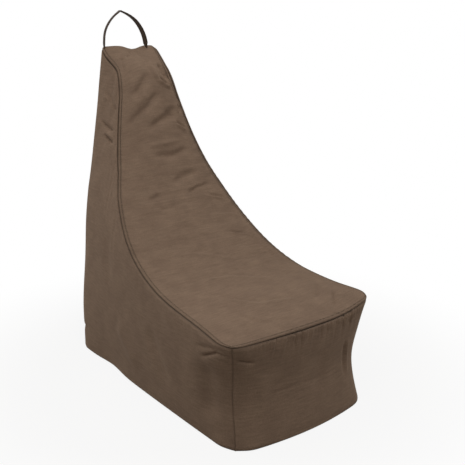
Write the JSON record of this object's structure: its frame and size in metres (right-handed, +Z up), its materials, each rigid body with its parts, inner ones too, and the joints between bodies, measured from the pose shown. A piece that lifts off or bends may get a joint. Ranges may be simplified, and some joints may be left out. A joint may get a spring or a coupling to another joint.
{
  "type": "bean bag chair",
  "caption": "Upholstered bean bag lounge chair with a low seat, a tall tapering back, a strap carry handle at the top and a zip low on the back.",
  "frame": {"origin": "on the floor, under the middle of the chair's box", "axes": "the chair faces -Y, +X is on the right of someone looking at its front, +Z is up"},
  "size_m": [0.5096, 0.8658, 1.045],
  "materials": {
    "cover_cloth": "brushed taupe-brown suede cloth, matte with a soft nap",
    "strap": "folded dark brown strap, stitched along both edges",
    "zip_tape": "woven polyester tape",
    "zip_teeth": "moulded acetal teeth",
    "zip_slider": "die-cast zinc, painted dark bronze",
    "liner_cloth": "plain white polyester lining",
    "beads": "expanded polystyrene beads, matte white"
  },
  "bodies": {
    "root": {"seat_panel": "cover_cloth", "front_panel": "cover_cloth", "left_side_panel": "cover_cloth", "right_side_panel": "cover_cloth", "rear_panel_upper": "cover_cloth", "rear_panel_lower": "cover_cloth", "base_panel": "cover_cloth", "handle_tail_left": "strap", "handle_tail_right": "strap", "zip_tape_upper": "zip_tape", "zip_tape_lower": "zip_tape", "zip_teeth_upper": "zip_teeth", "zip_teeth_lower": "zip_teeth", "zip_top_stops": "zip_teeth", "zip_bottom_stop": "zip_teeth", "liner_left_half": "liner_cloth", "liner_right_half": "liner_cloth", "bead_fill": "beads"},
    "handle": {"carry_handle": "strap"},
    "slider": {"zip_slider": "zip_slider"}
  },
  "joints": [
    {"name": "handle_flop", "type": "hinge", "parent": "root", "child": "handle", "pos_m": [0, 0.4185, 0.948], "axis": [1, 0, 0], "range_deg": [-70, 110], "stiffness_Nm_per_rad": 0.004},
    {"name": "zip_travel", "type": "slide", "parent": "root", "child": "slider", "axis": [-1, 0, 0], "range_m": [0, 0.294], "deforming": ["zip_teeth_upper", "zip_teeth_lower"]}
  ]
}
